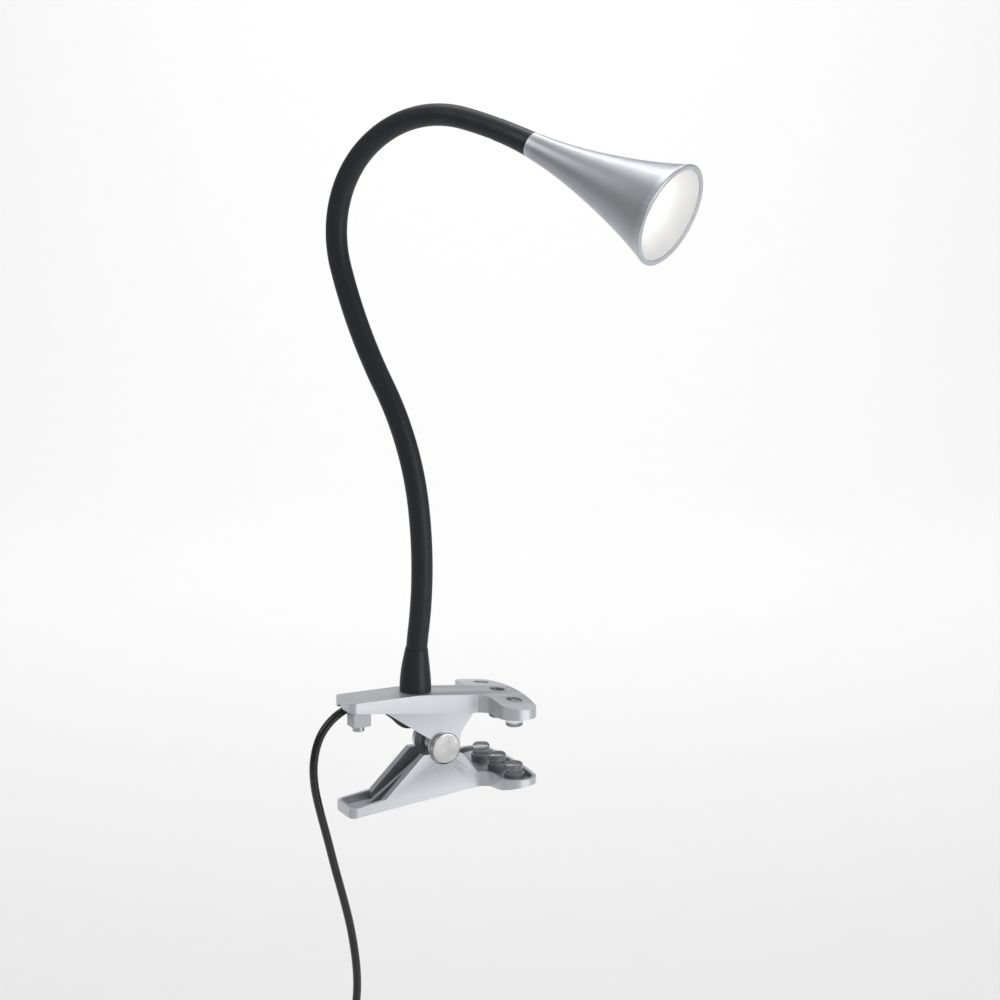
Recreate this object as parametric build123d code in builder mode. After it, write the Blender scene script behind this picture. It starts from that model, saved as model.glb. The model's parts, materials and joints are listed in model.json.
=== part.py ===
from build123d import *
import os
from math import cos, radians, sin, sqrt, tan

# Clip-on reading lamp, in millimetres. The origin is the middle upper pad's face on the board,
# +X runs from the handles into the board, +Z is up, and the clamp is symmetric about Y = 0.

# Clamp
BOARD = 18.5            # thickness that the jaws hold at rest
HALF_WIDTH = 10.0       # of the handles and of the ears
HANDLE_END = -82.0
WAIST_X = -11.0         # where the handle widens into the jaw
FRONT_X = 9.5
FRONT_BOW = 3.0
LOBE_HALF = 32.0
HANDLE_TOP = 18.6
NECK_X = -44.0          # the neck stands here, and the top slopes down from here on
TOP_SLOPE = 0.11
SKIRT_SLOPE = 0.116
SKIRT_END_Z = 13.9      # skirt's lower edge at the handle's end
JAW_SKIRT_Z = 6.3
WALL = 2.0
CROWN_RADIUS = 200.0
CROWN_SIDE = 40.0
LOW_END_Z = -38.0       # lower jaw's underside at the handle's end
LOW_SLOPE = 0.105
LOW_RIM_END_Z = -33.2
LOW_RIM_Z = -23.4
LOW_RIM_X = -16.0
PAD_Y = 18.0
PAD_RADIUS = 4.2
PAD_STUD_RADIUS = 2.4
PAD_RECESS_RADIUS = 3.5
PAD_RECESS_Z = 11.6

# Pivot
PIVOT_X = -33.2
PIVOT_Z = -8.7
EAR_RADIUS = 7.9
EAR_CLEARANCE = 0.5
EAR_OUTER = 9.3         # faces of the upper jaw's ears
EAR_INNER = 7.6
LOW_EAR_OUTER = 7.3
LOW_EAR_INNER = 5.8
LOW_EAR_RADIUS = 5.6
PIN_RADIUS = 2.5
PIN_CLEARANCE = 0.05
CAP_RADIUS = 7.5
CAP_HEIGHT = 2.6
WIRE_RADIUS = 0.8
LEG_RADIUS = 0.7
SPRING_RADIUS = 4.6
SPRING_TURNS = 6
SPRING_PITCH = 1.55

# Neck: arcs one after another in an upright plane, as (length, turn in degrees)
NECK_AZIMUTH = -59.5
COLLAR_HEIGHT = 2.0
NECK_ARCS = [(28, -8.2), (60, 15.4), (60, 24), (60, -14.6), (60, -62.7), (60, -55.6), (38, -10.1)]
SLEEVE_RADIUS = 5.1
CONDUIT_RADIUS = 3.4
CONDUIT_BORE = 1.9
LEAD_RADIUS = 0.6
LEAD_OFFSET = 0.9
BALL_RADIUS = 4.95
CUP_RADIUS = 5.25
GROOVE = 2.4
BOOT_RADII = [7.6, 7.2, 6.4, 5.4]
BOOT_LENGTH = 21.0
HEAD_BOOT_RADII = [5.25, 5.3, 5.5, 5.8]
HEAD_BOOT_LENGTH = 19.0

# Head: lengths run along its own axis from the end of the neck, as (length, radius)
SHADE_CURVE = [(0, 5.9), (20, 8.2), (38, 11.9), (55, 16.4), (76, 23.8)]
SHADE_WALL = 1.3
RIM_WIDTH = 1.7
DIFFUSER_BASE = 62.5
DIFFUSER_RADIUS = 11.0
DIFFUSER_HEIGHT = 9.5
SKIN = 1.2              # reflector's and diffuser's wall
LED_COUNT = 6
LED_RING = 6.2

# Cord: it hangs in the plane Y = CORD_Y, and its points are (x, z)
CORD_RADIUS = 2.0
CORD_Y = 3.0
CORD_RUN = [(-69.4, 13.63), (-77, 14), (-86.2, 9), (-93, 0.9), (-96.2, -11), (-95.8, -23),
            (-93, -36), (-89.3, -50), (-86, -64), (-82, -79), (-78.3, -94), (-75.8, -109),
            (-74.6, -123), (-75.2, -135), (-77, -143.5), (-77, -150)]
LOWER_RUN = [(-77, -218), (-77, -226), (-77.5, -232.7)]
PLUG_RUN = [(-99, -5.5, -263), (-99.6, -9.5, -251.5), (-94.5, -12.5, -240.5), (-84, -14.3, -236),
            (-75, -14.6, -241), (-71.4, -14.5, -251), (-71.4, -14.5, -261)]
INNER_RUN = [(-69.4, 3, 13.63), (-63.4, 3, 13.338), (-55.4, 1.6, 7.8), (-50.8, 0.6, 2.6),
             (-46.6, 0.1, 1.6), (-44, 0, 4.8), (-44, 0, 10.4)]
SWITCH_X = -77.0
SWITCH_TOP = -158.0
SWITCH_LENGTH = 52.0
SWITCH_WIDTH = 18.0
SWITCH_DEPTH = 13.0
SWITCH_BOOT = 8.0
ROCKER_TILT = 7.0
COIL_X = -77.0
COIL_Z = -261.3
COIL_RADIUS = 22.0
COIL_RING = 13.0
COIL_DEPTH = 17.0
PLUG_TOP = -261.0
PLUG_X = -71.4
PLUG_Y = -14.5

os.makedirs("parts", exist_ok=True)


def save(part, name):
    part.label = name
    export_step(part, f"parts/{name}.step")


# ------------------------------------------------------------------ clamp halves
def skirt_z(x):
    return SKIRT_END_Z - SKIRT_SLOPE * (x - HANDLE_END)


def low_z(x):
    return LOW_END_Z + LOW_SLOPE * (x - HANDLE_END)


def low_rim_z(x):
    slope = (LOW_RIM_Z - LOW_RIM_END_Z) / (LOW_RIM_X - HANDLE_END)
    return min(LOW_RIM_Z, LOW_RIM_END_Z + slope * (x - HANDLE_END))


def jaw_plan(inset):
    """Handle and jaw seen from above, its edge moved in by inset."""
    side_x = FRONT_X - FRONT_BOW
    with BuildSketch() as plan:
        with BuildLine():
            Polyline(
                (side_x, -LOBE_HALF),
                (WAIST_X, -LOBE_HALF),
                (WAIST_X, -HALF_WIDTH),
                (HANDLE_END, -HALF_WIDTH),
                (HANDLE_END, HALF_WIDTH),
                (WAIST_X, HALF_WIDTH),
                (WAIST_X, LOBE_HALF),
                (side_x, LOBE_HALF),
            )
            ThreePointArc((side_x, LOBE_HALF), (FRONT_X, 0), (side_x, -LOBE_HALF))
        make_face()
        fillet([v for v in plan.vertices() if v.X < HANDLE_END + 1], 3.0)
        fillet([v for v in plan.vertices() if v.X > 0], 7.5)
        fillet([v for v in plan.vertices() if abs(v.X - WAIST_X) < 0.1 and abs(v.Y) > 30], 9.0)
        fillet([v for v in plan.vertices() if abs(v.X - WAIST_X) < 0.1 and abs(v.Y) < 11], 6.0)
        if inset:
            offset(amount=-inset, kind=Kind.INTERSECTION)
    return plan.sketch


def crown(slope, apex_z, up):
    """A block under (up = 1) or over (up = -1) a shallow arch that runs along a sloping line."""
    drop = up * (CROWN_RADIUS - sqrt(CROWN_RADIUS**2 - CROWN_SIDE**2))
    plane = Plane(origin=(-100, 0, apex_z), x_dir=(0, 1, 0), z_dir=(1, 0, slope))
    with BuildSketch(plane) as face:
        with BuildLine():
            ThreePointArc((-CROWN_SIDE, -drop), (0, 0), (CROWN_SIDE, -drop))
            Polyline(
                (CROWN_SIDE, -drop),
                (CROWN_SIDE, -60 * up),
                (-CROWN_SIDE, -60 * up),
                (-CROWN_SIDE, -drop),
            )
        make_face()
    return extrude(face.sketch, amount=130)


def side_block(*points):
    """A block across the clamp with this outline in X and Z."""
    with BuildSketch(Plane.XZ.offset(-45)) as side:
        Polygon(*points, align=None)
    return extrude(side.sketch, amount=90)


def upper_block(inset):
    """The upper jaw's outer form, or with an inset the room inside its skirt."""
    top = HANDLE_TOP - inset
    nose = 20.0
    corner = HANDLE_END + (SKIRT_END_Z - JAW_SKIRT_Z) / SKIRT_SLOPE
    points = [(-100, top), (NECK_X, top), (nose, top - TOP_SLOPE * (nose - NECK_X))]
    if inset:
        points += [(nose, -10), (-100, -10)]
    else:
        points += [(nose, JAW_SKIRT_Z), (corner, JAW_SKIRT_Z), (-100, skirt_z(-100))]
    plan = jaw_plan(inset)
    sides = side_block(*points)
    arch = crown(-TOP_SLOPE, top + TOP_SLOPE * (NECK_X + 100), 1)
    with BuildPart() as block:
        add(extrude(Pos(0, 0, -15) * plan, amount=50))
        add(sides, mode=Mode.INTERSECT)
        add(arch, mode=Mode.INTERSECT)
    return block.part


def lower_block(inset):
    """The lower jaw's outer form, or with an inset the room inside its rim."""
    points = [(-100, low_z(-100) + inset), (20, low_z(20) + inset)]
    if inset:
        points += [(20, 0), (-100, 0)]
    else:
        points += [(20, LOW_RIM_Z), (LOW_RIM_X, LOW_RIM_Z), (-100, low_rim_z(-100))]
    plan = jaw_plan(inset)
    sides = side_block(*points)
    arch = crown(LOW_SLOPE, low_z(-100) + inset, -1)
    with BuildPart() as block:
        add(extrude(Pos(0, 0, -45) * plan, amount=50))
        add(sides, mode=Mode.INTERSECT)
        add(arch, mode=Mode.INTERSECT)
    return block.part


def plate_pair(inner, outer, *points):
    """Two upright plates, mirrored about Y = 0, with this outline in X and Z."""
    with BuildPart() as pair:
        with BuildSketch(Plane.XZ.offset(inner)):
            Polygon(*points, align=None)
        extrude(amount=outer - inner)
        mirror(about=Plane.XZ)
    return pair.part


def cross_rod(radius, half_length):
    """A round bar along Y through the pivot."""
    return Pos(PIVOT_X, 0, PIVOT_Z) * Rot(90, 0, 0) * Cylinder(radius, 2 * half_length)


upper_ears = plate_pair(
    EAR_INNER,
    EAR_OUTER,
    (-66.0, skirt_z(-66.0) + 1.5),
    (PIVOT_X - 6.6, PIVOT_Z + 4.2),
    (PIVOT_X, PIVOT_Z - 3.0),
    (PIVOT_X + 8.3, PIVOT_Z),
    (PIVOT_X + 9.0, PIVOT_Z + 6.0),
    (-16.2, JAW_SKIRT_Z + 2.0),
)
pad_places = Locations((0, -PAD_Y), (0, 0), (0, PAD_Y)).locations
upper_outer = upper_block(0)
upper_room = upper_block(WALL)
top_arch = crown(-TOP_SLOPE, HANDLE_TOP + TOP_SLOPE * (NECK_X + 100), 1)
ear_ends = cross_rod(EAR_RADIUS, EAR_OUTER) - cross_rod(EAR_RADIUS + 1, EAR_INNER)
pin_bore = cross_rod(PIN_RADIUS, 20)
with BuildPart() as upper_jaw:
    add(upper_outer)
    add(upper_room, mode=Mode.SUBTRACT)
    # bosses for the pads and for the neck's stud, and ribs across the handle
    with Locations(Pos(0, 0, 6.0)):
        with Locations(pad_places):
            Cylinder(5.0, 12, align=(Align.CENTER, Align.CENTER, Align.MIN))
    with Locations((NECK_X, 0, 14.6)):
        Cylinder(7.6, 6, align=(Align.CENTER, Align.CENTER, Align.MIN))
    with Locations((-66, -5.5, 15.4), (-66, 7.6, 15.4), (-28, 0, 13.6)):
        Box(1.4, 5.0, 5.0)
    add(top_arch, mode=Mode.INTERSECT)
    with Locations((-70, 0, HANDLE_TOP + 5)):
        Box(70, 30, 10, mode=Mode.SUBTRACT)
    add(upper_ears)
    add(ear_ends)
    with Locations(pad_places):
        Cylinder(PAD_STUD_RADIUS, 60, mode=Mode.SUBTRACT)
    with Locations(Pos(0, 0, PAD_RECESS_Z)):
        with Locations(pad_places):
            Cylinder(
                PAD_RECESS_RADIUS,
                10,
                align=(Align.CENTER, Align.CENTER, Align.MIN),
                mode=Mode.SUBTRACT,
            )
    with Locations((NECK_X, 0, 20)):
        Cylinder(4.0, 20, mode=Mode.SUBTRACT)
    with Locations((-75.4, -3.4, 17.4)):
        Cylinder(1.5, 8, align=(Align.CENTER, Align.CENTER, Align.MAX), mode=Mode.SUBTRACT)
    # the cord's notch in the end wall
    with Locations((HANDLE_END, CORD_Y, 12.4)):
        Box(6, 4.8, 5.4, mode=Mode.SUBTRACT)
    add(pin_bore, mode=Mode.SUBTRACT)
save(upper_jaw.part, "upper_jaw")

flange = plate_pair(
    LOW_EAR_INNER,
    HALF_WIDTH,
    (-65.0, low_rim_z(-65.0) - 0.5),
    (PIVOT_X - 11.2, PIVOT_Z - 2.6),
    (PIVOT_X, PIVOT_Z - 2.6),
    (PIVOT_X + 9.3, PIVOT_Z - 4.1),
    (-15.2, LOW_RIM_Z - 0.5),
    (-15.2, LOW_RIM_Z - 3.0),
    (-65.0, low_rim_z(-65.0) - 3.0),
)
inner_ears = plate_pair(
    LOW_EAR_INNER,
    LOW_EAR_OUTER,
    (-52.0, low_rim_z(-52.0) - 0.5),
    (PIVOT_X - 5.4, PIVOT_Z - 1.2),
    (PIVOT_X + 5.4, PIVOT_Z - 1.2),
    (-18.0, LOW_RIM_Z - 0.5),
    (-18.0, LOW_RIM_Z - 3.0),
    (-52.0, low_rim_z(-52.0) - 3.0),
)
ear_relief = cross_rod(EAR_RADIUS + EAR_CLEARANCE, 20) - cross_rod(EAR_RADIUS + 2, LOW_EAR_OUTER)
low_ear_ends = cross_rod(LOW_EAR_RADIUS, LOW_EAR_OUTER) - cross_rod(EAR_RADIUS, LOW_EAR_INNER)
with BuildSketch(Plane.XZ.offset(-1.2)) as rib_side:
    Polygon(
        (-71, low_z(-71) + 1.5),
        (-42.5, PIVOT_Z - 6.4),
        (-39.0, PIVOT_Z - 9.6),
        (-39.0, low_z(-39) + 1.5),
        align=None,
    )
spring_rib = extrude(rib_side.sketch, amount=2.4)
lower_outer = lower_block(0)
lower_room = lower_block(WALL)
low_arch = crown(LOW_SLOPE, low_z(-100), -1)
running_bore = cross_rod(PIN_RADIUS + PIN_CLEARANCE, 20)
with BuildPart() as lower_jaw:
    add(lower_outer)
    add(lower_room, mode=Mode.SUBTRACT)
    with Locations(Pos(0, 0, LOW_RIM_Z - 6.0)):
        with Locations(pad_places):
            Cylinder(5.0, 6.0, align=(Align.CENTER, Align.CENTER, Align.MIN))
    add(flange)
    add(inner_ears)
    add(low_ear_ends)
    add(spring_rib)
    add(ear_relief, mode=Mode.SUBTRACT)
    add(low_arch, mode=Mode.INTERSECT)
    with Locations(Pos(0, 0, LOW_RIM_Z)):
        with Locations(pad_places):
            Cylinder(PAD_STUD_RADIUS, 40, mode=Mode.SUBTRACT)
    add(running_bore, mode=Mode.SUBTRACT)
save(lower_jaw.part, "lower_jaw")


def pad_set(face_z, seat_z, *stud):
    """Three soft pads: a foot from the face to its seat, and a stud with this outline above it."""
    step = 1 if seat_z > face_z else -1
    with BuildPart() as pads:
        with BuildSketch(Plane.XZ):
            Polygon(
                (0, face_z),
                (PAD_RADIUS - 0.6, face_z),
                (PAD_RADIUS, face_z + 0.6 * step),
                (PAD_RADIUS, seat_z),
                (PAD_STUD_RADIUS, seat_z),
                *stud,
                align=None,
            )
        revolve(axis=Axis.Z)
    return Part() + [place * pads.part for place in pad_places]


head_radius = PAD_RECESS_RADIUS - 0.2
save(
    pad_set(
        0,
        6.0,
        (PAD_STUD_RADIUS, PAD_RECESS_Z),
        (head_radius, PAD_RECESS_Z),
        (head_radius, PAD_RECESS_Z + 0.5),
        (head_radius - 0.9, PAD_RECESS_Z + 1.1),
        (0, PAD_RECESS_Z + 1.2),
    ),
    "upper_pads",
)
low_stud_z = low_z(0) + 0.6
save(
    pad_set(-BOARD, LOW_RIM_Z, (PAD_STUD_RADIUS, low_stud_z + 0.8), (0, low_stud_z)),
    "lower_pads",
)

# ------------------------------------------------------------------ pivot and spring
save(cross_rod(PIN_RADIUS, EAR_OUTER + 1.0), "pivot_pin")

with BuildPart() as pivot_cap:
    with Locations((0, 0, EAR_OUTER)):
        Cylinder(CAP_RADIUS, CAP_HEIGHT, align=(Align.CENTER, Align.CENTER, Align.MIN))
    fillet(pivot_cap.faces().sort_by(Axis.Z)[-1].edges(), 0.8)
    Cylinder(PIN_RADIUS, 2 * (EAR_OUTER + 1.0), mode=Mode.SUBTRACT)
cap_turns = [Rot(90, 0, 0), Rot(-90, 0, 0)]
save(
    Part() + [Pos(PIVOT_X, 0, PIVOT_Z) * turn * pivot_cap.part for turn in cap_turns],
    "pivot_caps",
)


def spring_leg(side_y, angle, length):
    """A straight wire that leaves the coil at its handle side."""
    start = Vector(PIVOT_X, side_y, PIVOT_Z) + Vector(
        SPRING_RADIUS * sin(radians(angle)), 0, -SPRING_RADIUS * cos(radians(angle))
    )
    along = Vector(-cos(radians(angle)), 0, -sin(radians(angle)))
    base = Plane(origin=start, z_dir=along)
    return base * Cylinder(LEG_RADIUS, length, align=(Align.CENTER, Align.CENTER, Align.MIN))


half_coil = SPRING_PITCH * (SPRING_TURNS - 1) / 2
low_leg = spring_leg(-half_coil, 38, 27)
high_leg = Pos(0, 2 * half_coil, 0) * mirror(low_leg, about=Plane.XY.offset(PIVOT_Z))
with BuildPart() as torsion_spring:
    for turn in range(SPRING_TURNS):
        with Locations(
            Location((PIVOT_X, SPRING_PITCH * turn - half_coil, PIVOT_Z), (90, 0, 0))
        ):
            Torus(SPRING_RADIUS, WIRE_RADIUS)
    add(low_leg)
    add(high_leg)
save(torsion_spring.part, "torsion_spring")


# ------------------------------------------------------------------ neck
def neck_stations():
    """Where each arc of the neck starts and ends: (distance out, height, direction in degrees)."""
    out, height, direction = 0.0, HANDLE_TOP + COLLAR_HEIGHT, 90.0
    stations = [(out, height, direction)]
    for length, turn in NECK_ARCS:
        chord = 2 * length / radians(turn) * sin(radians(turn) / 2)
        heading = radians(direction + turn / 2)
        out += chord * cos(heading)
        height += chord * sin(heading)
        direction += turn
        stations.append((out, height, direction))
    return stations


def neck_vector(out, height):
    return Vector(out * cos(radians(NECK_AZIMUTH)), out * sin(radians(NECK_AZIMUTH)), height)


NECK_FOOT = Vector(NECK_X, 0, 0)
NECK_NORMAL = Vector(sin(radians(NECK_AZIMUTH)), -cos(radians(NECK_AZIMUTH)), 0)
STATIONS = neck_stations()


def neck_point(index, fraction=0.0):
    """A point on arc number index, at this fraction of its length."""
    out, height, direction = STATIONS[index]
    if fraction:
        length, turn = NECK_ARCS[index]
        turn *= fraction
        chord = 2 * length * fraction / radians(turn) * sin(radians(turn) / 2)
        heading = radians(direction + turn / 2)
        out += chord * cos(heading)
        height += chord * sin(heading)
    return NECK_FOOT + neck_vector(out, height)


def neck_plane(index, fraction=0.0):
    """The plane square to the neck there, its x axis square to the neck's own plane."""
    direction = STATIONS[index][2]
    if fraction:
        direction += NECK_ARCS[index][1] * fraction
    along = neck_vector(cos(radians(direction)), sin(radians(direction)))
    return Plane(origin=neck_point(index, fraction), x_dir=NECK_NORMAL, z_dir=along)


def neck_arc(index, shift=0.0, start=0.0, end=1.0):
    """One arc of the neck's line, moved sideways out of the neck's plane by shift."""
    move = NECK_NORMAL * shift
    with BuildLine() as line:
        ThreePointArc(
            neck_point(index, start) + move,
            neck_point(index, (start + end) / 2) + move,
            neck_point(index, end) + move,
        )
    return line.line


def neck_link(index, outer, inner, shifts=(0.0,)):
    """One link of a neck tube, with a cup at its start and a ball at its end where it bends."""
    start = neck_plane(index)
    end = neck_plane(index, 1.0)
    arcs = [neck_arc(index, shift) for shift in shifts]
    last = index == len(NECK_ARCS) - 1
    section = Plane(origin=end.origin, x_dir=end.x_dir, z_dir=end.x_dir.cross(end.z_dir))
    with BuildPart() as link:
        for shift, arc in zip(shifts, arcs):
            with BuildSketch(start):
                with Locations((shift, 0)):
                    Circle(outer)
                    if inner:
                        Circle(inner, mode=Mode.SUBTRACT)
            sweep(path=arc)
            if not last:
                with BuildSketch(end):
                    with Locations((shift, 0)):
                        Circle(outer)
                        if inner:
                            Circle(inner, mode=Mode.SUBTRACT)
                extrude(amount=BALL_RADIUS + 1)
        if not last:
            with BuildSketch(section):
                with Locations((4, 2)):
                    Rectangle(8, 2 * GROOVE + 4)
                Circle(BALL_RADIUS, mode=Mode.SUBTRACT)
            revolve(axis=Axis(end.origin, end.z_dir), mode=Mode.SUBTRACT)
        if index:
            with Locations(start):
                Sphere(CUP_RADIUS, mode=Mode.SUBTRACT)
    return link.part


for number in range(len(NECK_ARCS)):
    save(neck_link(number, SLEEVE_RADIUS, CONDUIT_RADIUS + 0.05), f"neck_sleeve_{number}")
    save(neck_link(number, CONDUIT_RADIUS, CONDUIT_BORE), f"neck_conduit_{number}")
    save(neck_link(number, LEAD_RADIUS, 0, (-LEAD_OFFSET, LEAD_OFFSET)), f"neck_leads_{number}")

# the feet of the neck: stud through the jaw, washer and nut under it, and the soft boots
with BuildPart() as neck_stud:
    with Locations((NECK_X, 0, HANDLE_TOP)):
        Cylinder(6.0, COLLAR_HEIGHT, align=(Align.CENTER, Align.CENTER, Align.MIN))
    with Locations((NECK_X, 0, HANDLE_TOP)):
        Cylinder(4.0, 8.2, align=(Align.CENTER, Align.CENTER, Align.MAX))
    chamfer(neck_stud.faces().sort_by(Axis.Z)[0].edges(), 0.5)
    with Locations((NECK_X, 0, HANDLE_TOP)):
        Cylinder(2.2, 40, mode=Mode.SUBTRACT)
save(neck_stud.part, "neck_stud")

with BuildPart() as neck_washer:
    with BuildSketch(Plane.XY.offset(13.8)):
        with Locations((NECK_X, 0)):
            Circle(7.0)
            Circle(4.0, mode=Mode.SUBTRACT)
    extrude(amount=0.8)
save(neck_washer.part, "neck_washer")

with BuildPart() as neck_nut:
    with BuildSketch(Plane.XY.offset(11.0)):
        with Locations((NECK_X, 0)):
            RegularPolygon(6.5, 6, major_radius=False)
            Circle(4.0, mode=Mode.SUBTRACT)
    extrude(amount=2.8)
save(neck_nut.part, "neck_nut")


def boot_loft(index, start, end, radii):
    """A soft boot that follows the neck's arc, its outer radius given at even steps."""
    planes = [
        neck_plane(index, start + (end - start) * step / (len(radii) - 1))
        for step in range(len(radii))
    ]
    with BuildPart() as boot:
        for plane, radius in zip(planes, radii):
            with BuildSketch(plane):
                Circle(radius)
        loft()
        with BuildSketch(neck_plane(index)):
            Circle(SLEEVE_RADIUS)
        sweep(path=neck_arc(index), mode=Mode.SUBTRACT)
    return boot.part


foot_length = NECK_ARCS[0][0]
base_boot_flare = boot_loft(0, 0.0, (BOOT_LENGTH - COLLAR_HEIGHT) / foot_length, BOOT_RADII)
with BuildPart() as base_boot:
    add(base_boot_flare)
    with Locations((NECK_X, 0, HANDLE_TOP)):
        Cylinder(BOOT_RADII[0], COLLAR_HEIGHT, align=(Align.CENTER, Align.CENTER, Align.MIN))
        Cylinder(6.0, COLLAR_HEIGHT, align=(Align.CENTER, Align.CENTER, Align.MIN), mode=Mode.SUBTRACT)
save(base_boot.part, "base_boot")

head_arc_length = NECK_ARCS[-1][0]
save(
    boot_loft(6, 1 - HEAD_BOOT_LENGTH / head_arc_length, 1.0, HEAD_BOOT_RADII),
    "head_boot",
)

# ------------------------------------------------------------------ head
HEAD = neck_plane(6, 1.0)
HEAD_AXIS = Axis(HEAD.origin, HEAD.z_dir)
# local x is the radius and local y the length along the head
HEAD_SECTION = Plane(
    origin=HEAD.origin, x_dir=HEAD.x_dir.cross(HEAD.z_dir), z_dir=HEAD.x_dir * -1
)


def head_turned(*points):
    """A round piece of the head, from a closed outline of (radius, length) points."""
    with BuildPart() as piece:
        with BuildSketch(HEAD_SECTION):
            Polygon(*points, align=None)
        revolve(axis=HEAD_AXIS)
    return piece.part


def curve_points(inset):
    return [(radius - inset, length) for length, radius in SHADE_CURVE]


MOUTH = SHADE_CURVE[-1][0]
MOUTH_RADIUS = SHADE_CURVE[-1][1]
with BuildPart() as shade:
    with BuildSketch(HEAD_SECTION):
        with BuildLine():
            outer = Spline(*curve_points(0))
            inner = Spline(*curve_points(SHADE_WALL))
            Line(outer @ 0, inner @ 0)
            Line(outer @ 1, inner @ 1)
        make_face()
    revolve(axis=HEAD_AXIS)
save(shade.part, "shade")

ring_bore = MOUTH_RADIUS - RIM_WIDTH - 0.4
save(
    head_turned(
        (ring_bore, MOUTH - 1.1),
        (ring_bore + 0.3, MOUTH - 1.1),
        (ring_bore + 0.5, MOUTH),
        (MOUTH_RADIUS + 0.1, MOUTH),
        (MOUTH_RADIUS + 0.1, MOUTH + 0.5),
        (MOUTH_RADIUS - 0.3, MOUTH + 0.9),
        (ring_bore, MOUTH + 0.9),
    ),
    "mouth_ring",
)
save(
    head_turned(
        (ring_bore - 0.1, MOUTH + 0.2),
        (ring_bore - 0.1, MOUTH - 1.1),
        (DIFFUSER_RADIUS + 2.4, DIFFUSER_BASE - SKIN),
        (DIFFUSER_RADIUS + 1.0, DIFFUSER_BASE - SKIN),
        (DIFFUSER_RADIUS + 1.0, DIFFUSER_BASE - 4.0),
        (DIFFUSER_RADIUS, DIFFUSER_BASE - 4.0),
        (DIFFUSER_RADIUS, DIFFUSER_BASE - SKIN),
        (DIFFUSER_RADIUS - 0.7, DIFFUSER_BASE - SKIN),
        (DIFFUSER_RADIUS - 0.7, DIFFUSER_BASE),
        (DIFFUSER_RADIUS + 1.0, DIFFUSER_BASE),
        (ring_bore - 1.0, MOUTH + 0.2),
    ),
    "reflector",
)


def dome(radius, height):
    """A ball cap that stands on the reflector's floor, as a solid."""
    ball = (radius**2 + height**2) / (2 * height)
    centre = HEAD * Pos(0, 0, DIFFUSER_BASE + height - ball)
    floor = HEAD * Pos(0, 0, DIFFUSER_BASE)
    keep = floor * Cylinder(40, 40, align=(Align.CENTER, Align.CENTER, Align.MIN))
    return (centre * Sphere(ball)) & keep


save(
    dome(DIFFUSER_RADIUS, DIFFUSER_HEIGHT) - dome(DIFFUSER_RADIUS - SKIN, DIFFUSER_HEIGHT - SKIN),
    "diffuser",
)

BOARD_FACE = DIFFUSER_BASE - SKIN - 1.2
BOARD_BACK = BOARD_FACE - 1.6
SINK_BACK = BOARD_BACK - 3.0
FIN_BACK = SINK_BACK - 9.0
LED_HEIGHT = 0.8
MIN_UP = (Align.CENTER, Align.CENTER, Align.MIN)
MAX_UP = (Align.CENTER, Align.CENTER, Align.MAX)
screw_places = PolarLocations(8.9, 2, start_angle=30).locations
led_places = PolarLocations(LED_RING, LED_COUNT).locations
fin_places = PolarLocations(8.6, 10).locations

with BuildPart() as led_board:
    with Locations((0, 0, BOARD_BACK)):
        Cylinder(10.8, 1.6, align=MIN_UP)
    with Locations(screw_places):
        Cylinder(1.1, 200, mode=Mode.SUBTRACT)
    with Locations((0, 0, BOARD_BACK)):
        Cylinder(1.8, 20, mode=Mode.SUBTRACT)
save(HEAD * led_board.part, "led_board")

with BuildPart() as led_chips:
    with Locations(Pos(0, 0, BOARD_FACE)):
        with Locations(led_places):
            Box(2.8, 2.8, LED_HEIGHT, align=MIN_UP)
save(HEAD * led_chips.part, "led_chips")

with BuildPart() as heat_sink:
    with Locations((0, 0, BOARD_BACK)):
        Cylinder(12.6, 3.0, align=MAX_UP)
    with Locations(Pos(0, 0, SINK_BACK)):
        with Locations(fin_places):
            Box(5.4, 1.2, 9.0, align=MAX_UP)
    with Locations((0, 0, BOARD_BACK)):
        Cylinder(2.6, 40, mode=Mode.SUBTRACT)
    with Locations(Pos(0, 0, BOARD_BACK)):
        with Locations(screw_places):
            Cylinder(1.1, 8, mode=Mode.SUBTRACT)
save(HEAD * heat_sink.part, "heat_sink")

with BuildPart() as board_screws:
    with Locations(Pos(0, 0, BOARD_FACE)):
        with Locations(screw_places):
            Cylinder(1.9, 0.9, align=MIN_UP)
            Cylinder(1.1, 4.5, align=MAX_UP)
save(HEAD * board_screws.part, "board_screws")

with BuildPart() as head_ferrule:
    with BuildSketch():
        Circle(4.5)
        Circle(2.2, mode=Mode.SUBTRACT)
    extrude(amount=15)
    with BuildSketch(Plane.XY.offset(12)):
        RegularPolygon(4.9, 6, major_radius=False)
        Circle(2.2, mode=Mode.SUBTRACT)
    extrude(amount=3)
save(HEAD * head_ferrule.part, "head_ferrule")

with BuildPart() as driver_board:
    with Locations((0, 0, 33)):
        Box(12.0, 1.2, 18.0)
save(HEAD * driver_board.part, "driver_board")

with BuildPart() as driver_parts:
    with Locations(Location((0, 3.1, 36.5))):
        Cylinder(2.5, 8.0)
    with Locations((-3.0, 1.8, 28.0), (3.2, 1.6, 29.0)):
        Box(3.6, 2.0, 4.4)
    with Locations((0, -1.7, 34)):
        Box(5.0, 2.2, 6.0)
save(HEAD * driver_parts.part, "driver_parts")

with BuildPart() as head_wires:
    with Locations((-LEAD_OFFSET, 0, 0), (LEAD_OFFSET, 0, 0)):
        Cylinder(LEAD_RADIUS, 24, align=MIN_UP)
    with Locations((-LEAD_OFFSET, 0, 42), (LEAD_OFFSET, 0, 42)):
        Cylinder(LEAD_RADIUS, BOARD_FACE - 42, align=MIN_UP)
save(HEAD * head_wires.part, "head_wires")


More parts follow.
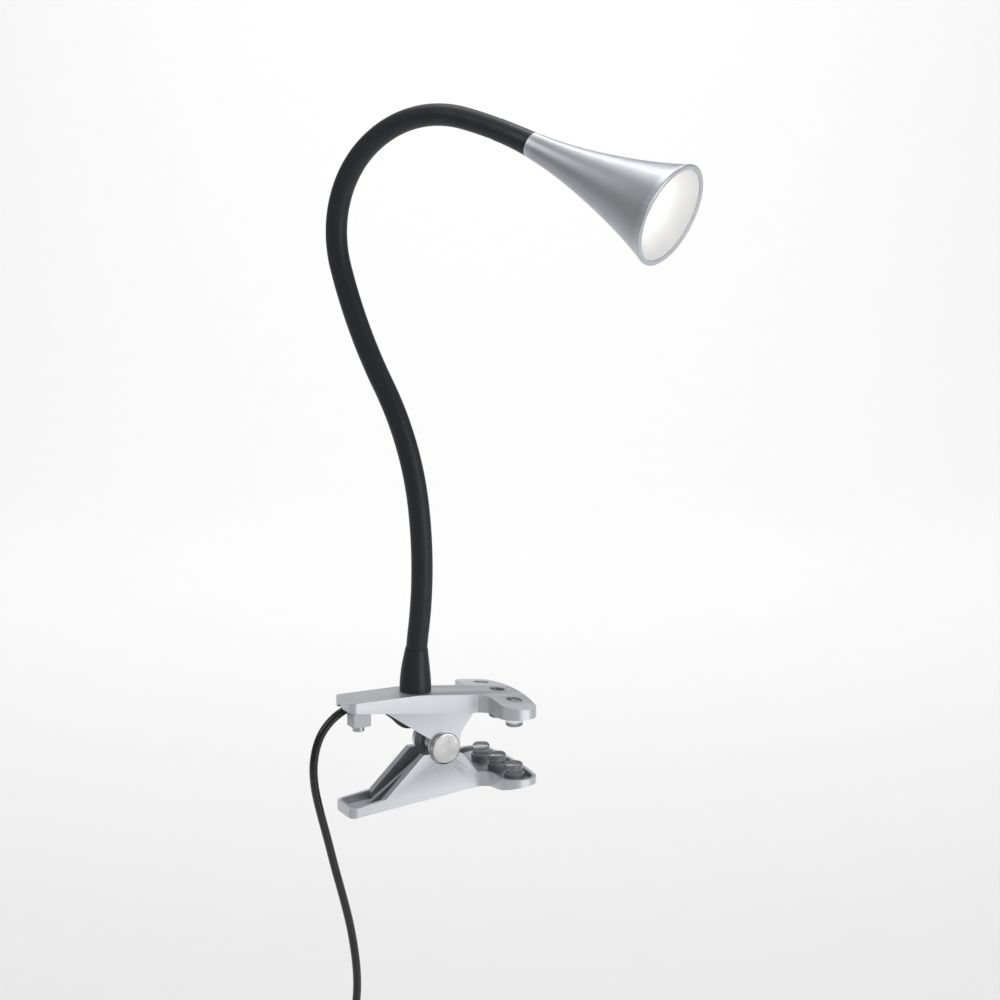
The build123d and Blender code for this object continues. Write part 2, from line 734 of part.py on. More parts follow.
# ------------------------------------------------------------------ cord
def cord_tube(points, name):
    """A tube on straight runs and tangent arcs, each arc as large as its two runs allow."""
    runs = [second - first for first, second in zip(points, points[1:])]
    radii = []
    for before, after in zip(runs, runs[1:]):
        half_turn = radians(before.get_angle(after)) / 2
        radii.append(0.45 * min(before.length, after.length) / tan(half_turn))
    with BuildPart() as tube:
        with BuildLine() as path:
            FilletPolyline(*points, radius=radii)
        with BuildSketch(Plane(origin=points[0], z_dir=runs[0])):
            Circle(CORD_RADIUS)
        sweep()
    length = sum(edge.length for edge in path.edges())
    print(name, "length", round(length, 1), "radii", [round(radius) for radius in radii])
    print(name, "volume against section x length", round(tube.part.volume / (12.566 * length), 4))
    save(tube.part, name)


def in_cord_plane(points):
    return [Vector(x, CORD_Y, z) for x, z in points]


cord_tube(in_cord_plane(CORD_RUN), "supply_cord")
cord_tube(in_cord_plane(LOWER_RUN), "coil_lead")
cord_tube([Vector(*point) for point in PLUG_RUN], "plug_lead")
cord_tube([Vector(*point) for point in INNER_RUN], "inner_cord")

# clamp for the cord: a block beside it under the handle, on a screw from below
with BuildPart() as cord_clamp:
    with Locations((-75.0, -3.3, 5.8)):
        Box(9.4, 7.8, 10.4, align=MIN_UP)
    fillet(cord_clamp.edges().filter_by(Axis.Z), 0.8)
    fillet(cord_clamp.faces().sort_by(Axis.Z)[0].edges(), 0.5)
    with Locations((-75.4, -3.4, 5.8)):
        Cylinder(1.5, 40, mode=Mode.SUBTRACT)
save(cord_clamp.part, "cord_clamp")

with BuildPart() as clamp_screw:
    with Locations((-75.4, -3.4, 5.8)):
        Cylinder(2.9, 2.4, align=MAX_UP)
    fillet(clamp_screw.faces().sort_by(Axis.Z)[0].edges(), 0.4)
    with Locations((-75.4, -3.4, 3.4)):
        Box(4.0, 0.7, 1.4, mode=Mode.SUBTRACT)
    with Locations((-75.4, -3.4, 5.8)):
        Cylinder(1.5, 11.6, align=MIN_UP)
save(clamp_screw.part, "clamp_screw")

# ------------------------------------------------------------------ cord switch
SWITCH_MID = SWITCH_TOP - SWITCH_LENGTH / 2
SPLIT_Y = CORD_Y
ROCKER_Y = CORD_Y - SWITCH_DEPTH / 2
ROCKER_AXIS_Y = ROCKER_Y + 2.4
SHELL = 1.6
SCREW_REACH = 3.5
# local z of each place points out of the back of the case
switch_screw_places = [
    Location((SWITCH_X - 5.2, CORD_Y, SWITCH_MID + 22.6), (-90, 0, 0)),
    Location((SWITCH_X + 5.2, CORD_Y, SWITCH_MID - 22.6), (-90, 0, 0)),
]


def switch_shell(front):
    """Half of the switch's case, hollow, open towards the other half."""
    way = -1 if front else 1
    half = SWITCH_DEPTH / 2
    with BuildPart() as shell:
        with Locations((SWITCH_X, CORD_Y + way * half / 2, SWITCH_MID)):
            Box(SWITCH_WIDTH, half, SWITCH_LENGTH)
        fillet(shell.edges().filter_by(Axis.Y), 6.0)
        face = shell.faces().sort_by(Axis.Y)[0 if front else -1]
        fillet(face.edges(), 2.0)
        with Locations((SWITCH_X, CORD_Y + way * (half - SHELL) / 2, SWITCH_MID)):
            Box(SWITCH_WIDTH - 2 * SHELL, half - SHELL, SWITCH_LENGTH - 12, mode=Mode.SUBTRACT)
        # the cord's way in and out
        with Locations((SWITCH_X, CORD_Y, SWITCH_MID)):
            Cylinder(CORD_RADIUS, SWITCH_LENGTH + 10, mode=Mode.SUBTRACT)
        if front:
            with Locations((SWITCH_X, ROCKER_Y, SWITCH_MID)):
                Box(8.8, 12, 16.6, mode=Mode.SUBTRACT)
            with Locations((SWITCH_X - 5.6, ROCKER_AXIS_Y, SWITCH_MID)):
                Box(1.6, 4.6, 4.6)
            with Locations((SWITCH_X + 5.6, ROCKER_AXIS_Y, SWITCH_MID)):
                Box(1.6, 4.6, 4.6)
            with Locations(Location((SWITCH_X, ROCKER_AXIS_Y, SWITCH_MID), (0, 90, 0))):
                Cylinder(1.05, 13.0, mode=Mode.SUBTRACT)
        with Locations(switch_screw_places):
            with Locations((0, 0, -SCREW_REACH)):
                Cylinder(1.0, SCREW_REACH + SWITCH_DEPTH / 2, align=MIN_UP, mode=Mode.SUBTRACT)
            with Locations((0, 0, SWITCH_DEPTH / 2)):
                Cylinder(1.7, 1.0, align=MAX_UP, mode=Mode.SUBTRACT)
    return shell.part


save(switch_shell(True), "switch_front")
save(switch_shell(False), "switch_back")

with BuildPart() as switch_screws:
    with Locations(switch_screw_places):
        with Locations((0, 0, SWITCH_DEPTH / 2)):
            Cylinder(1.7, 1.0, align=MAX_UP)
        with Locations((0, 0, -SCREW_REACH)):
            Cylinder(1.0, SCREW_REACH + SWITCH_DEPTH / 2 - 1.0, align=MIN_UP)
save(switch_screws.part, "switch_screws")

with BuildPart() as switch_rocker:
    with BuildSketch(Plane.YZ.offset(-4.1)):
        with BuildLine():
            Polyline((2.2, 4.0), (0.2, 7.8), (-3.4, 7.8))
            ThreePointArc((-3.4, 7.8), (-2.6, 0), (-3.4, -7.8))
            Polyline((-3.4, -7.8), (0.2, -7.8), (2.2, -4.0), (2.2, 4.0))
        make_face()
    extrude(amount=8.2)
    with Locations(Location((0, 0, 0), (0, 90, 0))):
        Cylinder(1.0, 12.4)
rocker_place = Pos(SWITCH_X, ROCKER_AXIS_Y, SWITCH_MID) * Rot(ROCKER_TILT, 0, 0)
save(rocker_place * switch_rocker.part, "switch_rocker")


def cord_sleeve(top_z, bottom_z, top_radius, bottom_radius):
    """A tapered grommet round the cord at one end of the switch."""
    with BuildPart() as sleeve:
        with BuildSketch(Plane.XZ) as section:
            Polygon(
                (CORD_RADIUS, top_z),
                (top_radius, top_z),
                (bottom_radius, bottom_z),
                (CORD_RADIUS, bottom_z),
                align=None,
            )
        revolve(axis=Axis.Z)
    return Pos(SWITCH_X, CORD_Y, 0) * sleeve.part


switch_bottom = SWITCH_TOP - SWITCH_LENGTH
save(
    Part()
    + [
        cord_sleeve(SWITCH_TOP + SWITCH_BOOT, SWITCH_TOP, 2.9, 4.2),
        cord_sleeve(switch_bottom, switch_bottom - SWITCH_BOOT, 4.2, 2.9),
    ],
    "switch_sleeves",
)

# ------------------------------------------------------------------ coil, tie and plug
with BuildPart() as cord_coil:
    with BuildSketch(Plane.XZ):
        with Locations((COIL_RADIUS, 0)):
            RectangleRounded(COIL_RING, COIL_DEPTH, 4.0)
    revolve(axis=Axis.Z)
save(Pos(COIL_X, CORD_Y, COIL_Z) * Rot(90, 0, 0) * cord_coil.part, "cord_coil")

with BuildPart() as cord_tie:
    with BuildSketch(Plane.YZ.offset(-1.6)):
        with Locations((0, COIL_RADIUS)):
            RectangleRounded(COIL_DEPTH + 2.4, COIL_RING + 2.4, 5.0)
            RectangleRounded(COIL_DEPTH, COIL_RING, 4.0, mode=Mode.SUBTRACT)
    extrude(amount=3.2)
save(Pos(COIL_X, CORD_Y, COIL_Z) * Rot(0, 75, 0) * cord_tie.part, "cord_tie")

PLUG_WIDTH = 35.0
PLUG_DEPTH = 13.6
PLUG_BODY = 30.0
with BuildPart() as plug_body:
    with BuildSketch(Plane.XY.offset(PLUG_TOP - 10)):
        with Locations((PLUG_X, PLUG_Y)):
            RectangleRounded(11.0, 9.0, 4.0)
    with BuildSketch(Plane.XY.offset(PLUG_TOP - 20)):
        with Locations((PLUG_X, PLUG_Y)):
            RectangleRounded(PLUG_WIDTH - 6, PLUG_DEPTH, 6.0)
    with BuildSketch(Plane.XY.offset(PLUG_TOP - 38)):
        with Locations((PLUG_X, PLUG_Y)):
            RectangleRounded(PLUG_WIDTH, PLUG_DEPTH, 6.5)
    loft(ruled=True)
    with Locations((PLUG_X, PLUG_Y, PLUG_TOP - 10.5)):
        Cone(4.2, 2.9, 10.5, align=MIN_UP)
save(plug_body.part, "plug_body")

with BuildPart() as plug_pins:
    with Locations((PLUG_X - 9.5, PLUG_Y, PLUG_TOP - 38), (PLUG_X + 9.5, PLUG_Y, PLUG_TOP - 38)):
        Cylinder(2.0, 19.0, align=MAX_UP)
    ends = plug_pins.faces().filter_by(Axis.Z).group_by(Axis.Z)[0]
    fillet(ends.edges(), 1.4)
save(plug_pins.part, "plug_pins")
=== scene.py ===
import json
import math

import bpy
from mathutils import Matrix, Vector


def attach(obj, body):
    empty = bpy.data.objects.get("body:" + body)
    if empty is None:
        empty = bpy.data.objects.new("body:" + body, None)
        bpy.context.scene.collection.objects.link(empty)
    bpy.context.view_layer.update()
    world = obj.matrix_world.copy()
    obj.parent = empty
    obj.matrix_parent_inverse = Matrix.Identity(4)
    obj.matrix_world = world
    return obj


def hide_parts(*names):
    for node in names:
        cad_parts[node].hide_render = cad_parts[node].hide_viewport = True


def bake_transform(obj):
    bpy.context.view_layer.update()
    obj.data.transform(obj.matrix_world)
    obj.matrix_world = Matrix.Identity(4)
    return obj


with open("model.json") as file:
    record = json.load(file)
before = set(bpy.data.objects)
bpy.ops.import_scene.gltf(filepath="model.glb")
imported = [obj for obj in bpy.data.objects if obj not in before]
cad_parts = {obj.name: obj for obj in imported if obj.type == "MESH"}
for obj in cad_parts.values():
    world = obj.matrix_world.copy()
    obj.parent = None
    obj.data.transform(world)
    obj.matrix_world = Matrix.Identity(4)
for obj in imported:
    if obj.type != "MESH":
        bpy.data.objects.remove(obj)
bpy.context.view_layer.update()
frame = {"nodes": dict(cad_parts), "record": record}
nodes = frame["nodes"]

# ------------------------------------------------------------------ camera
camera_data = bpy.data.cameras.new("camera")
camera_data.sensor_width = 36.0
camera_data.lens = 89.8
camera_data.clip_start = 0.05
camera_data.clip_end = 50.0
camera = bpy.data.objects.new("camera", camera_data)
bpy.context.scene.collection.objects.link(camera)
RIGHT = Vector((0.89287, -0.45032, 0.0))
UP = Vector((0.08613, 0.17078, 0.98154))
FORWARD = Vector((0.44200, 0.87638, -0.19127))
EYE = Vector((-0.5284, -1.0505, 0.3367))
camera.matrix_world = Matrix((
    (RIGHT.x, UP.x, -FORWARD.x, EYE.x),
    (RIGHT.y, UP.y, -FORWARD.y, EYE.y),
    (RIGHT.z, UP.z, -FORWARD.z, EYE.z),
    (0, 0, 0, 1),
))
bpy.context.scene.camera = camera


# ------------------------------------------------------------------ cord
MM = 0.001
CORD_Y = 3.0
CORD_RADIUS = 2.0
CORD_RUN = [(-69.4, 13.63), (-77, 14), (-86.2, 9), (-93, 0.9), (-96.2, -11), (-95.8, -23),
            (-93, -36), (-89.3, -50), (-86, -64), (-82, -79), (-78.3, -94), (-75.8, -109),
            (-74.6, -123), (-75.2, -135), (-77, -143.5), (-77, -150)]
PLUG_RUN = [(-99.6, -9.5, -251.5), (-94.5, -12.5, -240.5), (-84, -14.3, -236),
            (-75, -14.6, -241), (-71.4, -14.5, -251), (-71.4, -14.5, -261)]
COIL_CENTRE = (-77.0, 3.0, -261.3)
COIL_START = 55.0
# the coil's layers, one after another: (turns, radius, first y, last y)
COIL_LAYERS = [(1.55, 26.0, 3.0, -3.5), (0.25, 22.0, -3.5, -3.5), (3.1, 22.0, -3.5, 9.5),
               (0.25, 18.0, 9.5, 9.5), (3.1, 18.0, 9.5, -3.5), (0.2, 18.0, -3.5, -7.8),
               (0.2, 22.3, -7.8, -8.2)]
TURN_POINTS = 18


def coil_points():
    """Turns of cord about Y, in layers from the outside in, from the ring's top right to its left."""
    points = []
    turn = 0.0
    radius = COIL_LAYERS[0][1]
    for turns, layer_radius, y_from, y_to in COIL_LAYERS:
        steps = max(4, round(turns * TURN_POINTS))
        for step in range(1, steps + 1):
            share = step / steps
            angle = math.radians(COIL_START - 360 * (turn + turns * share))
            now = radius + (layer_radius - radius) * share
            points.append((
                COIL_CENTRE[0] + now * math.cos(angle),
                y_from + (y_to - y_from) * share,
                COIL_CENTRE[2] + now * math.sin(angle),
            ))
        turn += turns
        radius = layer_radius
    return points


def poly_curve(name, points):
    """A round cord along the points, in millimetres."""
    data = bpy.data.curves.new(name, "CURVE")
    data.dimensions = "3D"
    data.bevel_depth = CORD_RADIUS * MM
    data.bevel_resolution = 6
    data.resolution_u = 6
    data.use_fill_caps = True
    spline = data.splines.new("NURBS")
    spline.points.add(len(points) - 1)
    for point, place in zip(spline.points, points):
        point.co = (place[0] * MM, place[1] * MM, place[2] * MM, 1)
    spline.order_u = 3
    spline.use_endpoint_u = True
    obj = bpy.data.objects.new(name, data)
    bpy.context.scene.collection.objects.link(obj)
    return obj


cord_points = [(x, CORD_Y, z) for x, z in CORD_RUN]
# straight down through the switch, then round onto the coil
cord_points += [(-77, CORD_Y, z) for z in (-165, -184, -203, -218)]
cord_points += [(-76.8, CORD_Y, -225.5), (-74.5, CORD_Y, -231), (-68.5, CORD_Y, -236)]
cord_points += coil_points()
cord_points += PLUG_RUN
cord = poly_curve("cord", cord_points)
inner_points = [(-69.4, 3, 13.63), (-63.4, 3, 13.338), (-55.4, 1.6, 7.8), (-50.8, 0.6, 2.6),
                (-46.6, 0.1, 1.6), (-44, 0, 4.8), (-44, 0, 10.4)]
inner_cord = poly_curve("cord_inside", inner_points)


# ------------------------------------------------------------------ meshes
def mesh_object(name, verts, faces):
    """A smooth mesh from points in millimetres."""
    mesh = bpy.data.meshes.new(name)
    mesh.from_pydata([Vector(v) * MM for v in verts], [], faces)
    mesh.update()
    mesh.polygons.foreach_set("use_smooth", [True] * len(mesh.polygons))
    obj = bpy.data.objects.new(name, mesh)
    bpy.context.scene.collection.objects.link(obj)
    return obj


def tube_mesh(name, path, radius, segments, caps=True):
    """A tube of circles square to the path's points."""
    path = [Vector(p) for p in path]
    verts, faces = [], []
    side = None
    for i, point in enumerate(path):
        before = path[max(i - 1, 0)]
        after = path[min(i + 1, len(path) - 1)]
        along = (after - before).normalized()
        if side is None:
            side = along.orthogonal().normalized()
        side = (side - along * side.dot(along)).normalized()
        other = along.cross(side)
        for k in range(segments):
            angle = 2 * math.pi * k / segments
            verts.append(point + (side * math.cos(angle) + other * math.sin(angle)) * radius)
    for i in range(len(path) - 1):
        for k in range(segments):
            a = i * segments + k
            b = i * segments + (k + 1) % segments
            faces.append((a, b, b + segments, a + segments))
    if caps:
        faces.append(tuple(reversed(range(segments))))
        faces.append(tuple(range((len(path) - 1) * segments, len(path) * segments)))
    return mesh_object(name, verts, faces)


# ------------------------------------------------------------------ neck
NECK_X = -44.0
NECK_BASE = 20.6
NECK_ARCS = [(28, -8.2), (60, 15.4), (60, 24), (60, -14.6), (60, -62.7), (60, -55.6), (38, -10.1)]
AZIMUTH = math.radians(-59.5)
OUTWARD = Vector((math.cos(AZIMUTH), math.sin(AZIMUTH), 0))
SLEEVE_RADIUS = 5.1
SLEEVE_SEGMENTS = 40
LINK_STEPS = 20


def neck_stations():
    """Where each link starts: out from the foot, height, and heading in degrees."""
    out, height, direction = 0.0, NECK_BASE, 90.0
    stations = [(out, height, direction)]
    for length, turn in NECK_ARCS:
        chord = 2 * length / math.radians(turn) * math.sin(math.radians(turn) / 2)
        heading = math.radians(direction + turn / 2)
        out += chord * math.cos(heading)
        height += chord * math.sin(heading)
        direction += turn
        stations.append((out, height, direction))
    return stations


STATIONS = neck_stations()


def neck_point(index, fraction):
    """The point this far along one link."""
    out, height, direction = STATIONS[index]
    length, turn = NECK_ARCS[index]
    part_turn = turn * fraction
    if fraction:
        chord = 2 * length * fraction / math.radians(part_turn) * math.sin(math.radians(part_turn) / 2)
        heading = math.radians(direction + part_turn / 2)
        out += chord * math.cos(heading)
        height += chord * math.sin(heading)
    return Vector((NECK_X, 0, 0)) + OUTWARD * out + Vector((0, 0, height))


# one sleeve piece bends across each joint, from the middle of one link to the middle of the next
sleeves = []
for joint in range(1, 7):
    first = 0.0 if joint == 1 else 0.5
    last = 1.0 if joint == 6 else 0.5
    path = [neck_point(joint - 1, first + (1 - first) * i / LINK_STEPS) for i in range(LINK_STEPS)]
    path += [neck_point(joint, last * i / LINK_STEPS) for i in range(LINK_STEPS + 1)]
    sleeve = tube_mesh(f"neck_sleeve_{joint}_bend", path, SLEEVE_RADIUS, SLEEVE_SEGMENTS, caps=False)
    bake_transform(sleeve)
    replaced = [f"neck_sleeve_{joint}"] + (["neck_sleeve_0"] if joint == 1 else [])
    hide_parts(*replaced)
    sleeves.append(sleeve)

# ------------------------------------------------------------------ spring
PIVOT = Vector((-32.5, 0, -9.25))
SPRING_RADIUS = 4.6
SPRING_PITCH = 1.55
SPRING_GAPS = 5          # pitches between the first turn and the last
WIRE = 0.8
WIRE_SEGMENTS = 16
LEG_ANGLE = 38           # degrees from level
LEG_LENGTH = 27.0
LEG_STEPS = 9
COIL_STEPS = 192
half_width = SPRING_PITCH * SPRING_GAPS / 2
leg_slope = math.radians(LEG_ANGLE)


def spring_end(up, side_y):
    """The start of a leg on the coil, and its direction towards the handles."""
    start = PIVOT + Vector((SPRING_RADIUS * math.sin(leg_slope), side_y,
                            up * SPRING_RADIUS * math.cos(leg_slope)))
    along = Vector((-math.cos(leg_slope), 0, up * math.sin(leg_slope)))
    return start, along


low_start, low_along = spring_end(-1, -half_width)
high_start, high_along = spring_end(1, half_width)
spring_path = [low_start + low_along * LEG_LENGTH * (1 - i / LEG_STEPS) for i in range(LEG_STEPS)]
start_angle = LEG_ANGLE - 90
total_angle = 360 * SPRING_GAPS + 2 * (90 - LEG_ANGLE)
for i in range(COIL_STEPS + 1):
    share = i / COIL_STEPS
    angle = math.radians(start_angle + total_angle * share)
    spring_path.append(PIVOT + Vector((SPRING_RADIUS * math.cos(angle), -half_width + 2 * half_width * share,
                                       SPRING_RADIUS * math.sin(angle))))
spring_path += [high_start + high_along * LEG_LENGTH * (i + 1) / LEG_STEPS for i in range(LEG_STEPS)]
spring = tube_mesh("spring", spring_path, WIRE, WIRE_SEGMENTS)
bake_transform(spring)
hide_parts("torsion_spring")


# ------------------------------------------------------------------ materials
def new_material(name):
    """An empty material with one Principled shader."""
    material = bpy.data.materials.new(name)
    material.use_nodes = True
    tree = material.node_tree
    tree.nodes.clear()
    output = tree.nodes.new("ShaderNodeOutputMaterial")
    shader = tree.nodes.new("ShaderNodeBsdfPrincipled")
    tree.links.new(shader.outputs[0], output.inputs[0])
    return material, tree, shader


def noise(tree, scale, detail, stretch=(1, 1, 1)):
    """Noise in the object's own space, stretched for brushed metal."""
    coords = tree.nodes.new("ShaderNodeTexCoord")
    mapping = tree.nodes.new("ShaderNodeMapping")
    mapping.inputs["Scale"].default_value = stretch
    texture = tree.nodes.new("ShaderNodeTexNoise")
    texture.inputs["Scale"].default_value = scale
    texture.inputs["Detail"].default_value = detail
    texture.inputs["Roughness"].default_value = 0.5
    tree.links.new(coords.outputs["Object"], mapping.inputs[0])
    tree.links.new(mapping.outputs[0], texture.inputs["Vector"])
    return texture.outputs["Fac"]


def ramp(tree, value, low, high, start=0.3, end=0.7):
    """value spread from start..end onto low..high, numbers or colours."""
    node = tree.nodes.new("ShaderNodeMapRange" if isinstance(low, (int, float)) else "ShaderNodeValToRGB")
    if isinstance(low, (int, float)):
        node.inputs["From Min"].default_value = start
        node.inputs["From Max"].default_value = end
        node.inputs["To Min"].default_value = low
        node.inputs["To Max"].default_value = high
        tree.links.new(value, node.inputs["Value"])
        return node.outputs["Result"]
    node.color_ramp.elements[0].position = start
    node.color_ramp.elements[1].position = end
    node.color_ramp.elements[0].color = (*low, 1)
    node.color_ramp.elements[1].color = (*high, 1)
    tree.links.new(value, node.inputs[0])
    return node.outputs["Color"]


def bump(tree, shader, height, strength, distance):
    """Raise the surface by a texture."""
    node = tree.nodes.new("ShaderNodeBump")
    node.inputs["Strength"].default_value = strength
    node.inputs["Distance"].default_value = distance
    tree.links.new(height, node.inputs["Height"])
    tree.links.new(node.outputs[0], shader.inputs["Normal"])


def edge_highlight_mask(tree):
    """Painted highlight mask: bright where the surface turns sharply, from the mesh's own pointiness, standing
    in for the bright line that light draws along a rounded edge.
    """
    geometry = tree.nodes.new("ShaderNodeNewGeometry")
    return geometry.outputs["Pointiness"]


def finish_material(name, colour, roughness, metallic=0.0, grain=900.0, spread=0.06, depth=0.00002,
                    strength=0.25, coat=0.0, stretch=(1, 1, 1), rough_spread=0.08, specular=0.5):
    """A surface with a fine bump, a slight drift of colour and an uneven gloss."""
    material, tree, shader = new_material(name)
    shader.inputs["Metallic"].default_value = metallic
    shader.inputs["Coat Weight"].default_value = coat
    shader.inputs["Coat Roughness"].default_value = 0.12
    shader.inputs["Specular IOR Level"].default_value = specular
    drift = noise(tree, 35.0, 3.0)
    low = tuple(max(0.0, c * (1 - spread)) for c in colour)
    high = tuple(min(1.0, c * (1 + spread)) for c in colour)
    tree.links.new(ramp(tree, drift, low, high), shader.inputs["Base Color"])
    fine = noise(tree, grain, 5.0, stretch)
    gloss = noise(tree, 120.0, 4.0, stretch)
    tree.links.new(ramp(tree, gloss, max(0.02, roughness - rough_spread), roughness + rough_spread),
                   shader.inputs["Roughness"])
    bump(tree, shader, fine, strength, depth)
    return material, tree, shader


SILVER = (0.43, 0.45, 0.48)
STEEL = (0.60, 0.60, 0.60)
made = {}


def silver(name, colour, roughness):
    """Satin silver paint: a fine metal flake that glints, under a thin clear coat, with a painted highlight on
    its sharp edges.
    """
    material, tree, shader = finish_material(name, colour, roughness, metallic=0.72, grain=5200.0, spread=0.02,
                                             depth=0.000012, strength=0.2, coat=0.12, rough_spread=0.03)
    flake = tree.nodes.new("ShaderNodeTexVoronoi")
    flake.inputs["Scale"].default_value = 4200.0
    coords = tree.nodes.new("ShaderNodeTexCoord")
    tree.links.new(coords.outputs["Object"], flake.inputs["Vector"])
    mix = tree.nodes.new("ShaderNodeMix")
    mix.data_type = "RGBA"
    mix.blend_type = "MULTIPLY"
    mix.inputs["Factor"].default_value = 0.16
    base = shader.inputs["Base Color"].links[0].from_socket
    tree.links.new(base, mix.inputs["A"])
    tree.links.new(flake.outputs["Color"], mix.inputs["B"])
    # painted highlight: the sharp edges are turned towards a pale silver, standing in for the bright line that
    # light draws along a small rounded edge
    edge_highlight = ramp(tree, edge_highlight_mask(tree), (0.0, 0.0, 0.0), (1.0, 1.0, 1.0), 0.53, 0.60)
    edge = tree.nodes.new("ShaderNodeMix")
    edge.data_type = "RGBA"
    tree.links.new(edge_highlight, edge.inputs["Factor"])
    tree.links.new(mix.outputs["Result"], edge.inputs["A"])
    # the pale silver of the painted edge highlight
    edge.inputs["B"].default_value = (0.66, 0.68, 0.71, 1)
    tree.links.new(edge.outputs["Result"], shader.inputs["Base Color"])
    return material


made["silver_paint"] = silver("silver_paint", SILVER, 0.38)
made["silver_shade"] = silver("silver_shade", (0.52, 0.54, 0.575), 0.42)
made["bright_steel"] = finish_material("bright_steel", STEEL, 0.22, metallic=1.0, grain=700.0,
                                       strength=0.15, depth=0.00001, stretch=(1, 14, 1))[0]
made["conduit_steel"] = finish_material("conduit_steel", (0.42, 0.42, 0.43), 0.35, metallic=1.0)[0]
made["black_sleeve"] = finish_material("black_sleeve", (0.014, 0.0165, 0.022), 0.52, grain=1500.0,
                                       strength=0.35, depth=0.00003, specular=0.42, rough_spread=0.05)[0]
made["black_boot"] = finish_material("black_boot", (0.0135, 0.016, 0.021), 0.46, grain=1300.0,
                                     strength=0.3, depth=0.00003, specular=0.45)[0]
made["black_cord"] = finish_material("black_cord", (0.008, 0.008, 0.009), 0.24, grain=260.0,
                                     strength=0.2, depth=0.00008, coat=0.2)[0]
made["black_case"] = finish_material("black_case", (0.014, 0.014, 0.015), 0.42, grain=2600.0,
                                     strength=0.5, depth=0.00004)[0]
made["black_rocker"] = finish_material("black_rocker", (0.010, 0.010, 0.011), 0.16, grain=200.0,
                                       strength=0.1, depth=0.00003, coat=0.5)[0]
made["grey_plastic"] = finish_material("grey_plastic", (0.50, 0.51, 0.53), 0.40, grain=2400.0,
                                       strength=0.35, depth=0.00003, metallic=0.25)[0]
made["white_reflector"] = finish_material("white_reflector", (0.86, 0.86, 0.865), 0.34, grain=1800.0,
                                          spread=0.01, strength=0.1, depth=0.00002, coat=0.2)[0]
made["board_mask"] = finish_material("board_mask", (0.82, 0.82, 0.80), 0.3, grain=800.0)[0]
made["led_yellow"] = finish_material("led_yellow", (0.85, 0.62, 0.12), 0.4, grain=1500.0)[0]
made["fin_aluminium"] = finish_material("fin_aluminium", (0.66, 0.67, 0.68), 0.34, metallic=1.0,
                                        grain=900.0, stretch=(1, 1, 9))[0]
made["green_board"] = finish_material("green_board", (0.02, 0.14, 0.05), 0.3, grain=1200.0, coat=0.4)[0]
made["part_black"] = finish_material("part_black", (0.02, 0.02, 0.022), 0.5, grain=2200.0)[0]
made["red_wire"] = finish_material("red_wire", (0.42, 0.02, 0.02), 0.35, grain=700.0)[0]
made["brass_pin"] = finish_material("brass_pin", (0.62, 0.50, 0.24), 0.24, metallic=1.0, grain=600.0,
                                    stretch=(1, 1, 12))[0]
made["tie_black"] = finish_material("tie_black", (0.02, 0.02, 0.02), 0.4, grain=1600.0)[0]

# clear silicone pads
pad_material, pad_tree, pad_shader = finish_material("clear_pad", (0.90, 0.92, 0.93), 0.14, grain=900.0,
                                                     spread=0.01, strength=0.15, depth=0.00004,
                                                     rough_spread=0.04)
pad_shader.inputs["Transmission Weight"].default_value = 0.82
pad_shader.inputs["IOR"].default_value = 1.41
made["clear_pad"] = pad_material

# frosted dome, lit from behind: white in the middle, a little warmer at its rim
dome_material, dome_tree, dome_shader = finish_material("frosted_dome", (0.93, 0.92, 0.89), 0.5, grain=2600.0,
                                                        spread=0.01, strength=0.2, depth=0.00002)
facing = dome_tree.nodes.new("ShaderNodeLayerWeight")
facing.inputs["Blend"].default_value = 0.45
glow = ramp(dome_tree, facing.outputs["Facing"], (1.0, 0.985, 0.95), (1.0, 0.90, 0.70), 0.55, 1.0)
dome_tree.links.new(glow, dome_shader.inputs["Emission Color"])
dome_shader.inputs["Emission Strength"].default_value = 1.25
made["frosted_dome"] = dome_material

slot_of = {row["node"]: row["material_slot"] for row in frame["record"]["subparts"]}
for node_name, node in nodes.items():
    for material_slot in node.material_slots:
        material_slot.material = made[slot_of[node_name]]
for sleeve in sleeves:
    sleeve.data.materials.append(made["black_sleeve"])
spring.data.materials.append(made["bright_steel"])
cord.data.materials.append(made["black_cord"])
inner_cord.data.materials.append(made["black_cord"])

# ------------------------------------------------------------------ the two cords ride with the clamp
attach(cord, "clamp")
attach(inner_cord, "clamp")
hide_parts("supply_cord", "coil_lead", "cord_coil", "plug_lead")
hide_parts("inner_cord")

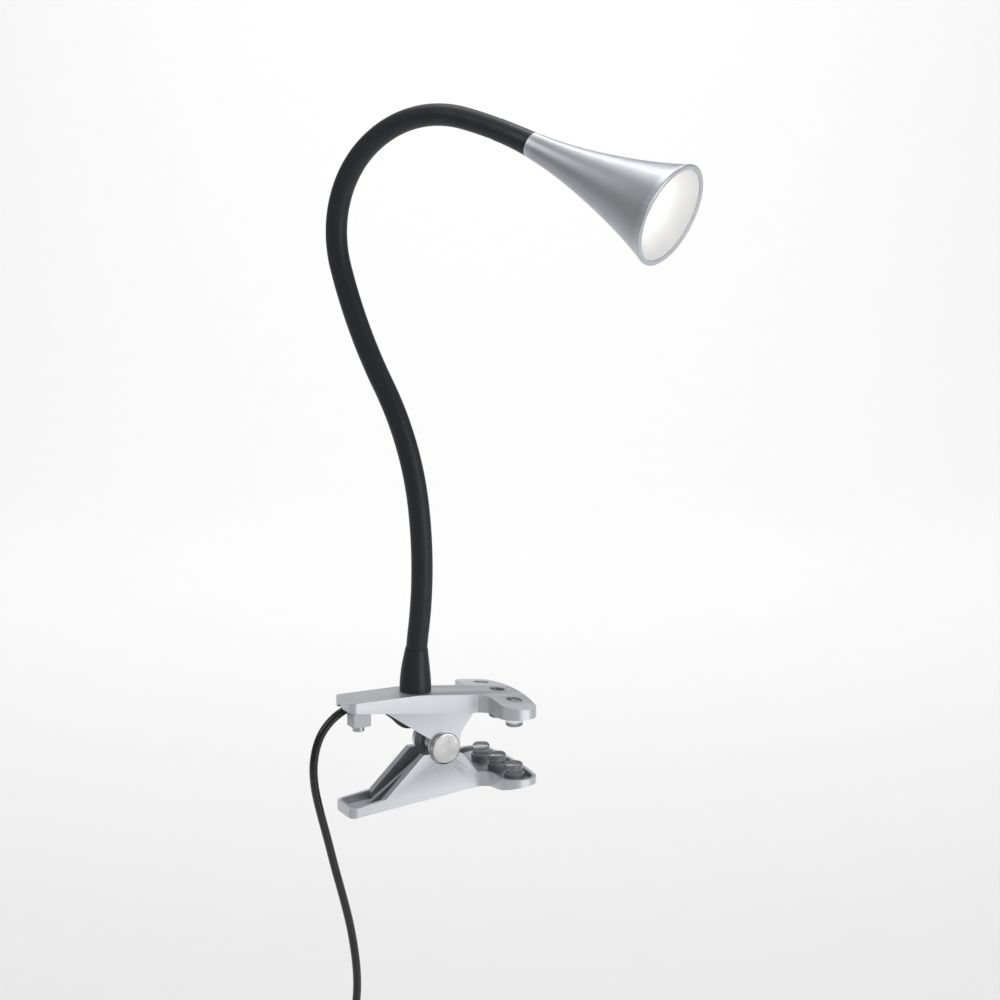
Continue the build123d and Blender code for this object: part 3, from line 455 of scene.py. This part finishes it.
# ------------------------------------------------------------------ floor and light
FLOOR_Z = -0.335
FLOOR_NEAR = -3.0
FLOOR_FAR = 2.2
FLOOR_SIDE = 5.0
SWEEP_RADIUS = 1.6
SWEEP_END = 60           # degrees that the backdrop curves up
SWEEP_STEP = 6
back = Vector((FORWARD.x, FORWARD.y, 0)).normalized()
profile = [(FLOOR_NEAR, 0.0), (FLOOR_FAR, 0.0)]
for degrees in range(SWEEP_STEP, SWEEP_END + 1, SWEEP_STEP):
    angle = math.radians(degrees)
    profile.append((FLOOR_FAR + SWEEP_RADIUS * math.sin(angle), SWEEP_RADIUS - SWEEP_RADIUS * math.cos(angle)))
floor_verts = []
for along, height in profile:
    for side in (-FLOOR_SIDE, FLOOR_SIDE):
        place = back * along + RIGHT * side + Vector((0, 0, FLOOR_Z + height))
        floor_verts.append(place / MM)
floor_faces = [(2 * i, 2 * i + 1, 2 * i + 3, 2 * i + 2) for i in range(len(profile) - 1)]
floor = mesh_object("floor", floor_verts, floor_faces)
floor_material = finish_material("floor", (0.93, 0.93, 0.93), 0.75, grain=60.0, spread=0.004)[0]
floor.data.materials.append(floor_material)

world = bpy.data.worlds.new("studio")
bpy.context.scene.world = world
world.use_nodes = True
world.node_tree.nodes["Background"].inputs["Color"].default_value = (1, 1, 1, 1)
world.node_tree.nodes["Background"].inputs["Strength"].default_value = 0.27


def area_light(name, place, target, width, height, power):
    """A soft rectangular light that faces its target."""
    data = bpy.data.lights.new(name, "AREA")
    data.shape = "RECTANGLE"
    data.size = width
    data.size_y = height
    data.energy = power
    light = bpy.data.objects.new(name, data)
    bpy.context.scene.collection.objects.link(light)
    light.location = place
    light.rotation_mode = "QUATERNION"
    light.rotation_quaternion = (Vector(target) - Vector(place)).to_track_quat("-Z", "Y")


centre = Vector((-0.03, -0.01, 0.12))
lift = Vector((0, 0, 1))
area_light("key", centre - RIGHT * 0.9 - FORWARD * 0.6 + lift * 0.8, centre, 0.5, 0.8, 3.4)
area_light("fill", centre + RIGHT * 0.8 - FORWARD * 0.6 - lift * 0.05, centre, 0.45, 0.8, 3.6)
area_light("top", centre + back * 0.3 + lift * 1.2, centre, 1.2, 0.8, 1.4)
area_light("backdrop", back * 1.6 + lift * 2.4, back * 2.6 + lift * 0.2, 3.0, 1.0, 72)
bpy.context.scene.view_settings.view_transform = "Standard"
